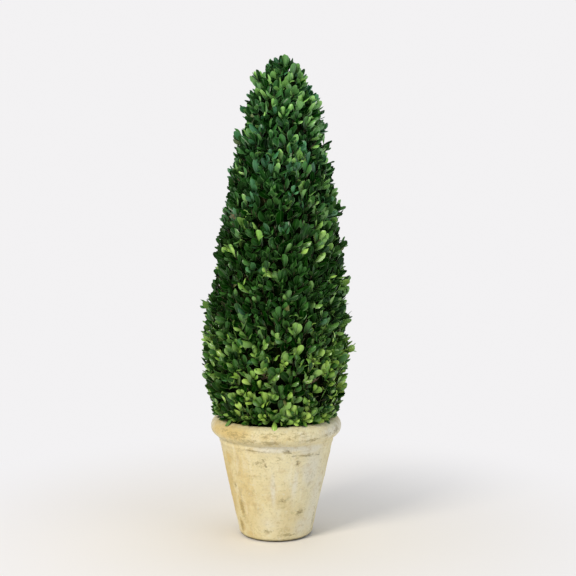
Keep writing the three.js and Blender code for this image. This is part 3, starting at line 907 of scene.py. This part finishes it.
# %% Shoots and twigs
reach = np.hypot(roots[:, None, 0] - lean(roots[:, None, 2]), roots[:, None, 1])
from_z = np.clip(roots[:, 2:] - 0.8 * reach - 6, bough_foot[None], bough_top[None])
from_points = bough_at(np.repeat(bough_number[None], len(roots), axis=0), from_z)
nearest = np.argmin(np.linalg.norm(from_points - roots[:, None], axis=-1), axis=1)
shoot_starts = from_points[np.arange(len(roots)), nearest]
shoots = straight(shoot_starts, roots, acrosses * (3 * swing(sprig_number, 42))[:, None])
twigs = straight(roots, roots + directions * grown[:, None], acrosses * swing(sprig_number, 41)[:, None])


# %% Bare twigs
def bare_twigs(each):
    """In each thin place, thin twigs that climb from the heart to just under the outline."""
    turn, z, radius = np.repeat(np.array(THIN_PLACES, dtype=float), each, axis=0).T
    k = 9000 + np.arange(len(turn))
    turn = np.radians(turn) + 1.15 * radius * swing(k, 1) / 100
    low, high = z - radius * (1.2 - 0.8 * chance(k, 2)), z + radius * (0.3 + 1.1 * chance(k, 3))
    starts = round_axis(crown_radius(low) - 20 + 3 * swing(k, 4), turn, low, lean(low))
    over = turn + 0.10 * swing(k, 6)
    ends = round_axis(crown_radius(high) - 7 + 5 * swing(k, 5), over, high, lean(high))
    sideways = np.stack([-np.sin(turn), np.cos(turn), 0 * turn], axis=-1)
    return straight(starts, ends, sideways * (1.5 * swing(k, 7))[:, None], 4)


# %% Wood pieces
# The darkest and the lightest colour of each kind of wood, and the radii along its tapers.
BARK = ((0.050, 0.034, 0.018), (0.170, 0.120, 0.070))
GREEN_WOOD = ((0.026, 0.032, 0.012), (0.090, 0.075, 0.040))
DRY_WOOD = ((0.09, 0.066, 0.036), (0.27, 0.21, 0.125))
SHOOT_TAPER, TWIG_TAPER = 1.5 * np.array([1.0, 0.75, 0.5]), 1.05 * np.array([1.0, 0.75, 0.5])
BARE_TAPER = 0.95 * np.array([1, 0.85, 0.7, 0.45])


def wood_material(name, dark, light):
    """Brown wood, mottled by a fine noise and furrowed by a finer one."""
    m = Maker(name)
    colour = m.blend(m.window(m.noise(420.0), 0.3, 0.7), dark, light)
    return m.finished(colour, 0.75, 0.2, m.bump(m.noise(1500.0, 2.0), 0.4, 0.0004))


def wood_piece(name, paths, radii, sides, tones):
    """A set of tapers as one mesh of brown wood in the crown."""
    radii = np.broadcast_to(radii, paths.shape[:2])
    mesh = new_mesh(name, *tapers(paths, radii, sides))
    in_crown(new_piece(mesh, wood_material(name + "_wood", *tones)))


wood_piece("boughs", bough_points, bough_radii, 7, BARK)
wood_piece("shoots", shoots, SHOOT_TAPER, 3, BARK)
wood_piece("twigs", twigs, TWIG_TAPER, 3, GREEN_WOOD)
wood_piece("bare_twigs", bare_twigs(20), BARE_TAPER, 3, DRY_WOOD)

# %% [markdown]
# ## The dark heart of the crown
#
# Behind the leaves the real plant is packed with older leaves and twigs that no light
# reaches. A lumpy mass painted nearly black as painted shade stands for them: it follows the
# outline well inside the leaves, so that a gap reads as depth and never as a hole.

# %% Heart
HEART_INSET, HEART_FOOT_Z, HEART_WAIST_Z, HEART_TOP_Z = 21.0, 166.6, 180.0, 675.0


def heart(rows=90, columns=128):
    """The outline drawn in by HEART_INSET, with ripples added, on a closed turned grid."""
    share = np.sin(0.5 * np.pi * np.linspace(0, 1, rows))
    z = HEART_WAIST_Z + (HEART_TOP_Z - 1 - HEART_WAIST_Z) * share
    r = np.maximum(crown_radius(z) - HEART_INSET, 1.5)
    profile = np.concatenate([[[66.0, HEART_FOOT_Z], [67.5, 172.0]], np.stack([r, z], axis=-1)])
    points, around = turned(profile, columns)
    z_grid = points[..., 2]
    lumps = 1.6 * np.sin(17 * around + z_grid / 5.3) * np.sin(z_grid / 6.1 - 11 * around)
    radius = np.hypot(points[..., 0], points[..., 1])
    grow = (undulation(around, z_grid) + lumps) / np.maximum(radius, 12)
    points[..., :2] *= (1 + np.where(z_grid > HEART_WAIST_Z + 10, grow, 0))[..., None]
    points[..., 0] += lean(z_grid)
    return closed_turned(points, [0.0, 0.0, HEART_FOOT_Z], [lean(HEART_TOP_Z), 0.0, HEART_TOP_Z])


def heart_material():
    """Painted shade: nearly black, greenish in one place and brownish in the next, and without any gloss.
    """
    m = Maker("shaded_packed_leaves")
    patches = m.window(m.noise(35.0, 3.0), 0.40, 0.60)
    colour = m.blend(patches, (0.0015, 0.014, 0.001), (0.012, 0.013, 0.003))
    colour = m.blend(m.window(m.noise(330.0), 0.45, 0.75), colour, (0.020, 0.034, 0.010))
    return m.finished(colour, 1.0, 0.0, m.bump(m.noise(300.0), 1.0, 0.004))


in_crown(new_piece(new_mesh("crown_heart", *heart()), heart_material()))

# %% [markdown]
# ## Stem and fill
#
# The stem is hidden by the leaves, and only its foot could be seen from close by. It is a
# short woody taper with furrows that wind up it. The pot is filled to just below its rim
# with a dark crumbly mix.

# %% Stem
STEM_FOOT_Z, STEM_TOP_Z = 166.0, 276.0


def stem(rows=60, columns=48):
    """A taper with a flared foot. Furrows: radius times 1 + 0.05 sin(9 around + z/9) and a
    finer wave of 0.03 that winds the other way."""
    z = np.linspace(STEM_FOOT_Z, STEM_TOP_Z, rows)
    flare = 6.0 * np.exp(-(z - STEM_FOOT_Z) / 7.0)
    r = 9.0 - 4.0 * ramp(z, 182, STEM_TOP_Z) + flare - 0.9
    points, around = turned(np.stack([r, z], axis=-1), columns)
    furrow = 0.05 * np.sin(9 * around + points[..., 2] / 9)
    furrow += 0.03 * np.sin(23 * around - points[..., 2] / 5)
    points[..., :2] *= (1 + furrow)[..., None]
    return closed_turned(points, [0.0, 0.0, STEM_FOOT_Z], [0.0, 0.0, STEM_TOP_Z])


stem_piece = new_piece(new_mesh("woody_stem", *stem()), wood_material("bark", *BARK))
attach(stem_piece, "root")
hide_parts("stem")

# %% Fill
MIX_TONES = ((0.012, 0.009, 0.006), (0.045, 0.032, 0.02))
FILL_FOOT_Z, FILL_Z, FILL_TOP_Z = 13.4, 163.0, 164.3


def fill(rings=40, columns=160):
    """A tapering plug whose top is a gently domed, crumbly disc."""
    side = np.array([[43.0, FILL_FOOT_Z], [69.0, 145.0], [70.9, 148.0], [70.9, 160.0], [70.2, 162.5]])
    r = np.linspace(69.0, 2.0, rings)
    top = np.stack([r, FILL_Z + 1.2 * (1 - (r / 70) ** 2)], axis=-1)
    points, around = turned(np.concatenate([side, top]), columns)
    crumbs = 0.7 * np.sin(31 * around + points[..., 0] / 2.1) * np.sin(points[..., 1] / 1.7 - 13 * around)
    points[..., 2] += np.where(points[..., 2] > FILL_Z - 0.6, crumbs, 0)
    return closed_turned(points, [0.0, 0.0, FILL_FOOT_Z], [0.0, 0.0, FILL_TOP_Z])


fill_piece = new_piece(new_mesh("dark_mix", *fill()), wood_material("crumbly_mix", *MIX_TONES))
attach(fill_piece, "root")
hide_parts("potting_fill")

# %% [markdown]
# ## The pot
#
# The pot was thrown, dipped in limewash and left out to weather. Its bead is not quite
# round, a thumbed band runs under it, and the wall has pits, scratches and scabs of lime.
# Bump in the material alone would leave a smooth outline. So the waves, throwing rings, pits
# and scratches are worked out as one height map over the angle and the place along the
# profile, and that is added to the turned shape, where it catches the light.

# %% Profile of the pot
POT_ROW_COUNT, POT_COLUMNS = 236, 410
OUTER_SHARE = 0.90  # the share of the rows that has relief
WALL_RADIUS = 74.0  # of the wall 100 mm up, for marks that are measured round it
POT_INSIDE = [[71.9, 172.0], [71.5, 166], [71.5, 150], [46.5, 14.0], [20, 13.2]]


def wall(z):
    """Outer radius of the wall, which widens by 31.8 mm over its 149 mm."""
    return 52.6 + 31.8 * z / 149.0


def pot_profile():
    """Foot, wall, thumbed band, cove, bead and inside wall, as corners of a line."""
    bead = np.radians(np.linspace(-68, 122, 16))
    arc_r = RIM_CENTRE_R + RIM_HALF_WIDTH * np.cos(bead)
    arc = np.stack([arc_r, RIM_CENTRE_Z + RIM_HALF_HEIGHT * np.sin(bead)], axis=-1)
    outside = [[20, 0], [46.4, 0], [49.6, 0.6], [51.9, 2.2], [wall(6), 6], [wall(139.5), 139.5]]
    outside += [[wall(141) + 0.9, 141], [wall(147) + 0.4, 147], [wall(149) + 0.2, 148.8], [85.2, 149.6]]
    return np.array(outside + arc.tolist() + POT_INSIDE)


def even_rows(corners, count, weight):
    """Points along a polyline, closer together where weight is larger."""
    step = np.linalg.norm(np.diff(corners, axis=0), axis=1) * weight
    reach = np.concatenate([[0], np.cumsum(step)])
    at = np.linspace(0, reach[-1], count)
    return np.stack([np.interp(at, reach, corners[:, k]) for k in (0, 1)], axis=-1)


pot_corners = pot_profile()
is_outside = np.arange(len(pot_corners) - 1) < len(pot_corners) - len(POT_INSIDE)
POT_ROWS = even_rows(pot_corners, POT_ROW_COUNT, np.where(is_outside, 1.0, 0.2))
print("the pot's wall has", len(pot_corners), "corners and", POT_ROW_COUNT, "rows")


# %% Waves, pits and scratches
def ripples(around, height, seed, count, finest):
    """A sum of sine waves that go round a whole number of times, the fine ones weaker."""
    luck = np.random.default_rng(seed)
    total = 0.0
    for _ in range(count):
        turns = luck.integers(1, finest)
        climb = luck.normal(0, finest / 80.0)
        size = 1.0 / np.hypot(turns, 80 * climb + 2)
        total = total + size * np.sin(turns * around + climb * height + luck.uniform(0, 6.28))
    return total / np.std(total)


def turn_from(around, degrees):
    """The shorter way round from an angle in degrees, in mm on the wall."""
    return ((around - np.radians(degrees) + np.pi) % (2 * np.pi) - np.pi) * WALL_RADIUS


def pits(around, height, seed, count, small, large):
    """Slanting oval pits: depth (1 - d) at a place, where d is the distance from a pit's
    middle as a share of that pit's size. Where pits meet, the deepest counts."""
    luck = np.random.default_rng(seed)
    near = np.zeros(np.broadcast(around, height).shape)
    for _ in range(count):
        angle, level, slant = luck.uniform(-180, 180), 172 * luck.random() ** 0.8, luck.uniform(0, np.pi)
        radius, longer = small + (large - small) * luck.random() ** 3, 1 + 1.6 * luck.random() ** 2
        turn, up = turn_from(around, angle), height - level
        d1 = (turn * np.cos(slant) + up * np.sin(slant)) / (radius * longer)
        d2 = (up * np.cos(slant) - turn * np.sin(slant)) / radius
        near = np.maximum(near, (0.30 + 0.70 * luck.random() ** 2) * (1 - np.hypot(d1, d2)))
    return near


def groove(around, height, angle, level, to_angle, to_level, wide, depth):
    """A ragged scratch from one place to another: depth (1 - d) at a place, where d is the
    distance from the scratch as a share of wide."""
    run = np.radians((to_angle - angle + 180) % 360 - 180) * WALL_RADIUS
    rise = to_level - level
    px, pz = turn_from(around, angle), height - level
    t = np.clip((px * run + pz * rise) / (run**2 + rise**2), 0, 1)
    wobble = 0.8 * np.sin(9 * t + angle) + 0.3 * np.sin(26 * t + level)
    far = np.hypot(px - t * run, pz - t * rise + wobble)
    return depth * (0.85 + 0.15 * np.sin(11 * t + level)) * (1 - far / wide)


# %% [markdown]
# ## Marks with a place
#
# Weather and handling mark a pot in some places and spare others, so even noise all over
# looks wrong. The marks that the eye finds first on the front are set one by one: scratches,
# worn and chalky patches, and stains. The sides that the photograph does not show get marks
# of the same kinds at random.

# %% Scratches with a place
# Angle and height of the start and of the end, width in mm and depth of each scratch on the
# front: the one that curls off the band and runs along it, the chip below it, the band's
# edge, the wall, the bead and the foot.
SCRATCHES = [
    (-79, 144, -74, 137, 2.7, 1.0), (-73, 134.5, -39, 130, 2.4, 0.9), (-67, 126, -66, 119, 3.1, 1.0),
    (-131, 142, -94, 140.5, 2.0, 0.6), (-87, 133, -85, 131, 3.2, 0.95), (-112, 124, -110, 122, 3.4, 1.0),
    (-103, 129, -102, 126, 3.2, 0.95), (-101, 122, -100, 119, 3.4, 1.0), (-83, 67, -78, 65, 3.0, 0.75),
    (-60, 47, -55, 43, 3.3, 0.85), (-62, 155, -38, 161, 2.0, 0.7), (-33, 106, -31, 104, 2.7, 0.7),
    (-147, 85, -145, 82, 2.7, 0.8), (-104, 158, -84, 156, 3.0, 0.6), (-28, 160, -20, 168, 2.3, 0.9),
    (-22, 158, -15, 165, 2.0, 0.8), (-80, 12, -62, 10, 2.3, 0.6), (-106, 19, -99, 17, 2.6, 0.7),
]
BACK_SCRATCHES = 30
luck = np.random.default_rng(21)
for _ in range(BACK_SCRATCHES):
    angle, level, slope = luck.uniform(0, 172), luck.uniform(8, 142), luck.uniform(-1, 1)
    length = 2 + 20 * luck.random() ** 2.5
    far_end = (angle + length * 0.75, level + length * 0.5 * slope)
    SCRATCHES.append((angle, level, *far_end, luck.uniform(3.0, 4.6), luck.uniform(0.6, 1.0)))
print(len(SCRATCHES), "scratches")


# %% Stains with a place
def blots(around, height, places):
    """Soft patches: the largest of amount * exp(-(turn / wide)^2 - (rise / tall)^2)."""
    total = np.zeros(np.broadcast(around, height).shape)
    for angle, level, wide, tall, amount in places:
        patch = amount * np.exp(-((turn_from(around, angle) / wide) ** 2) - ((height - level) / tall) ** 2)
        total = np.maximum(total, patch)
    return total


def strewn(seed, count, span, low, high, wide, tall, amount):
    """Random patches for the sides that the photograph does not show."""
    a, b, c, d, e = np.random.default_rng(seed).random((count, 5)).T
    angle, level = span[0] + (span[1] - span[0]) * a, low + (high - low) * b
    return list(zip(angle, level, wide * (0.5 + c), tall * (0.5 + d), amount * (0.5 + 0.5 * e)))


# Angle, height, width, tallness in mm and amount of each patch of bare ochre clay,
# of chalky grey lime, and of olive-brown staining.
OCHRE = [
    (-168, 75, 34, 60, 0.85), (-149, 122, 7, 12, 0.95), (-151, 96, 6, 20, 0.8), (-163, 173, 16, 5, 0.9),
    (-141, 54, 7, 20, 1.0), (-150, 20, 10, 14, 0.9), (-104, 66, 9, 9, 0.35), (-131, 8, 20, 9, 0.6),
    (-130, 90, 26, 90, 0.55), (-134, 167, 30, 12, 0.95), (-110, 165, 44, 10, 0.40),
    (-80, 162, 30, 9, 0.3), (-152, 166, 16, 9, 0.90), (-164, 164, 16, 10, 0.70),
]
OCHRE += strewn(31, 15, (5, 185), 8, 172, 18, 20, 0.85)
CHALK = [
    (-84, 145, 42, 5, 1.0), (-45, 110, 22, 40, 0.75), (-67, 92, 6, 32, 0.7), (-93, 84, 4, 30, 0.7),
    (-30, 60, 26, 60, 0.75), (-100, 30, 22, 18, 0.4), (-24, 165, 36, 11, 0.8), (-50, 20, 20, 20, 0.5),
    (-52, 141, 24, 8, 0.8),
]
CHALK += strewn(32, 15, (-10, 190), 10, 165, 20, 24, 0.75)
STAIN = [
    (-94, 157, 13, 4, 1.0), (-116, 159, 18, 4.5, 0.7), (-58, 158, 13, 4, 0.8), (-39, 161, 9, 5, 0.7),
    (-24, 164, 10, 7, 0.8), (-150, 151, 12, 5, 0.6), (-79, 141, 7, 5, 0.9), (-56, 133, 24, 3, 0.8),
    (-112, 142, 22, 2.5, 0.8), (-106, 124, 12, 8, 0.55), (-66, 122, 4, 6, 0.8), (-86, 131, 9, 6, 0.5),
    (-81, 66, 9, 5, 0.75), (-57, 45, 9, 6, 0.9), (-32, 104, 8, 8, 0.4), (-146, 83, 4, 6, 0.8),
    (-140, 50, 7, 18, 0.85), (-150, 20, 8, 12, 0.85), (-102, 17, 11, 3.5, 0.9), (-72, 11, 20, 3, 0.85),
    (-22, 24, 8, 20, 0.7), (-143, 168, 16, 5, 0.6), (-126, 165, 24, 8, 0.65), (-118, 78, 12, 12, 0.3),
    (-96, 168, 30, 7, 0.60), (-70, 166, 24, 8, 0.55), (-110, 156, 30, 4, 0.6),
]
STAIN += strewn(33, 9, (0, 190), 150, 160, 18, 5, 0.9)
STAIN += strewn(34, 14, (0, 190), 4, 140, 10, 7, 0.75)
STAIN += strewn(35, 6, (0, 190), 3, 14, 16, 4, 0.8)


# %% Surface of the pot
def pot():
    """The turned profile plus its relief along the outward normal, and what weathers where.
    The relief is waves, a finer and a finest unevenness, throwing rings, pits and scratches."""
    points, around = turned(POT_ROWS, POT_COLUMNS)
    height = points[..., 2]
    tangent = np.gradient(POT_ROWS, axis=0)
    normal = unit(np.stack([tangent[:, 1], -tangent[:, 0]], axis=-1))
    angle = around[None, :] + 0 * height
    relief = 0.40 * ripples(angle, height, 3, 26, 5) * np.clip(height / 30, 0, 1)
    relief += 0.20 * ripples(angle, height, 4, 60, 26) + 0.10 * ripples(angle, height, 5, 90, 90)
    relief += 0.10 * np.sin(2 * np.pi * height / 4.3 + 0.4 * ripples(angle, height, 6, 12, 4))
    hollow = 0.62 * pits(angle, height, 7, 210, 2.4, 5.5)
    for scratch in SCRATCHES:
        hollow = np.maximum(hollow, groove(angle, height, *scratch))
    hollow = np.clip(hollow, 0, 1)
    outer = (np.arange(POT_ROW_COUNT) < OUTER_SHARE * POT_ROW_COUNT)[:, None] & (height > 1.5)
    relief = np.where(outer, np.clip(relief, -0.9, 1.2) - 0.9 * hollow**2, 0)
    relief *= np.where(height > 150, 0.85, 1.0)
    marks = {"hollow": hollow * outer}
    for name, places in (("ochre", OCHRE), ("chalk", CHALK), ("stain", STAIN)):
        marks[name] = blots(angle, height, places)
    points += round_axis(relief * normal[:, :1], around, relief * normal[:, 1:])
    return closed_turned(points, [0.0, 0.0, 0.0], [0.0, 0.0, POT_INSIDE[-1][1]]), marks


pot_grid, pot_marks = pot()
pot_mesh = new_mesh("weathered_pot", *pot_grid)
for key, values in pot_marks.items():
    flat = np.concatenate([values.ravel(), [0, 0]])
    mark(pot_mesh, key, "POINT", flat)
    print(key, "reaches", round(float(flat.max()), 2), "and covers", round(float((flat > 0.3).mean()), 3))

# %% [markdown]
# ## The finish of the pot
#
# Limewash is a thin skin over warmer clay. It wears off in patches, holds dirt in every
# hollow, and is stained under the bead and along the foot. A dark line at the very foot is
# painted shadow where the pot meets the floor. An image could give that for one side only. So
# colours are laid over one another instead, each where noise, a placed mark or a hollow of the
# height map lets it through.

# %% Finish of the pot
COATS = {
    "cream": (0.750, 0.675, 0.425),
    "buff": (0.665, 0.570, 0.325),
    "gold": (0.690, 0.560, 0.245),
    "grey": (0.720, 0.680, 0.540),
    "ochre": (0.560, 0.375, 0.125),
    "chalk": (0.730, 0.700, 0.575),
    "lime": (0.810, 0.770, 0.610),
    "tan": (0.560, 0.440, 0.240),
    "olive": (0.330, 0.290, 0.120),
    "umber": (0.220, 0.170, 0.065),
    "dirt": (0.130, 0.100, 0.040),
    "painted_foot_shadow": (0.050, 0.038, 0.016),
}


def pot_material():
    """Buff clay under a cream limewash. Ochre clay shows in worn patches and chalky grey in
    others, their edges broken up by noise. Over them lie fine mottles, olive stains, scabs
    of lime, dirt in the pits and a dark line of painted shadow where the foot meets the floor."""
    m = Maker("weathered_terracotta")
    upright, level = (
        m.add("ShaderNodeMapping", Vector=m.place(), Scale=scale).outputs[0]
        for scale in ((1.0, 1.0, 0.28), (0.6, 0.6, 1.5))
    )
    streaks, broad = m.noise(75.0, 4.0, 0.6, where=upright), m.noise(22.0, 5.0, 0.62)
    fine, crumbs = m.noise(95.0, 6.0, 0.7, distortion=0.5), m.noise(300.0, 5.0, 0.7)
    broken = m.noise(280.0, 6.0, 0.78, where=level, distortion=0.4)

    def part_of(amount, value, low, high):
        """A share of what passes a window on a value."""
        return m.times(m.window(value, low, high), amount)

    def patch(name, amount, rough):
        """A placed patch whose edge is eaten into by noise."""
        return part_of(amount, m.maths("ADD", m.attribute(name), m.times(rough, 1.3, -0.65)), 0.18, 0.72)

    limed = m.times(m.attribute("ochre"), -0.75, 1.0)
    ragged = m.times(m.noise(330.0, 5.0, 0.75), 1.2, m.attribute("hollow"))
    layers = [
        ("buff", m.window(broad, 0.38, 0.66)),
        ("gold", m.times(m.attribute("ochre"), 0.95)),
        ("grey", m.times(m.attribute("chalk"), 0.55)),
        ("ochre", patch("ochre", 0.40, fine)),
        ("chalk", patch("chalk", 0.70, broad)),
        ("lime", m.times(limed, part_of(0.45, streaks, 0.52, 0.70))),
        ("tan", part_of(0.45, fine, 0.50, 0.66)),
        ("olive", part_of(0.30, m.noise(48.0, 6.0, 0.75), 0.54, 0.70)),
        ("olive", part_of(0.42, crumbs, 0.52, 0.66)),
        ("lime", m.times(limed, part_of(0.60, m.noise(150.0, 6.0, 0.75), 0.55, 0.68))),
        ("umber", part_of(0.52, m.times(m.attribute("stain"), 0.34, broken), 0.62, 0.78)),
        ("umber", part_of(0.40, m.noise(420.0, 4.0, 0.65), 0.64, 0.74)),
        ("dirt", part_of(0.62, ragged, 0.98, 1.40)),
        # Painted shadow: the pot darkens within about five millimetres of its foot, where it meets the
        # floor.
        ("painted_foot_shadow", m.times(m.rest(m.window(m.height(), 0.0008, 0.0052)), 0.9)),
    ]
    colour = COATS["cream"]
    for name, amount in layers:
        colour = m.blend(amount, colour, COATS[name])
    grain = m.times(m.noise(700.0, 4.0, 0.7), 0.35, fine)
    return m.finished(colour, 0.88, 0.15, m.bump(grain, 0.6, 0.0010))


pot_piece = new_piece(pot_mesh, pot_material())
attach(pot_piece, "root")
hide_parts("pot")

# %% [markdown]
# ## Finish
#
# The dressed plant has to stay within the solids' box, apart from a few millimetres that
# leaves may stand proud. Both boxes are printed so that they can be compared.

# %% Print both boxes and finish
seen_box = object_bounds()
for label, (low, high) in (("cad", cad_box), ("visual", seen_box)):
    print(label, [round(1000 * v, 1) for v in low], [round(1000 * v, 1) for v in high])
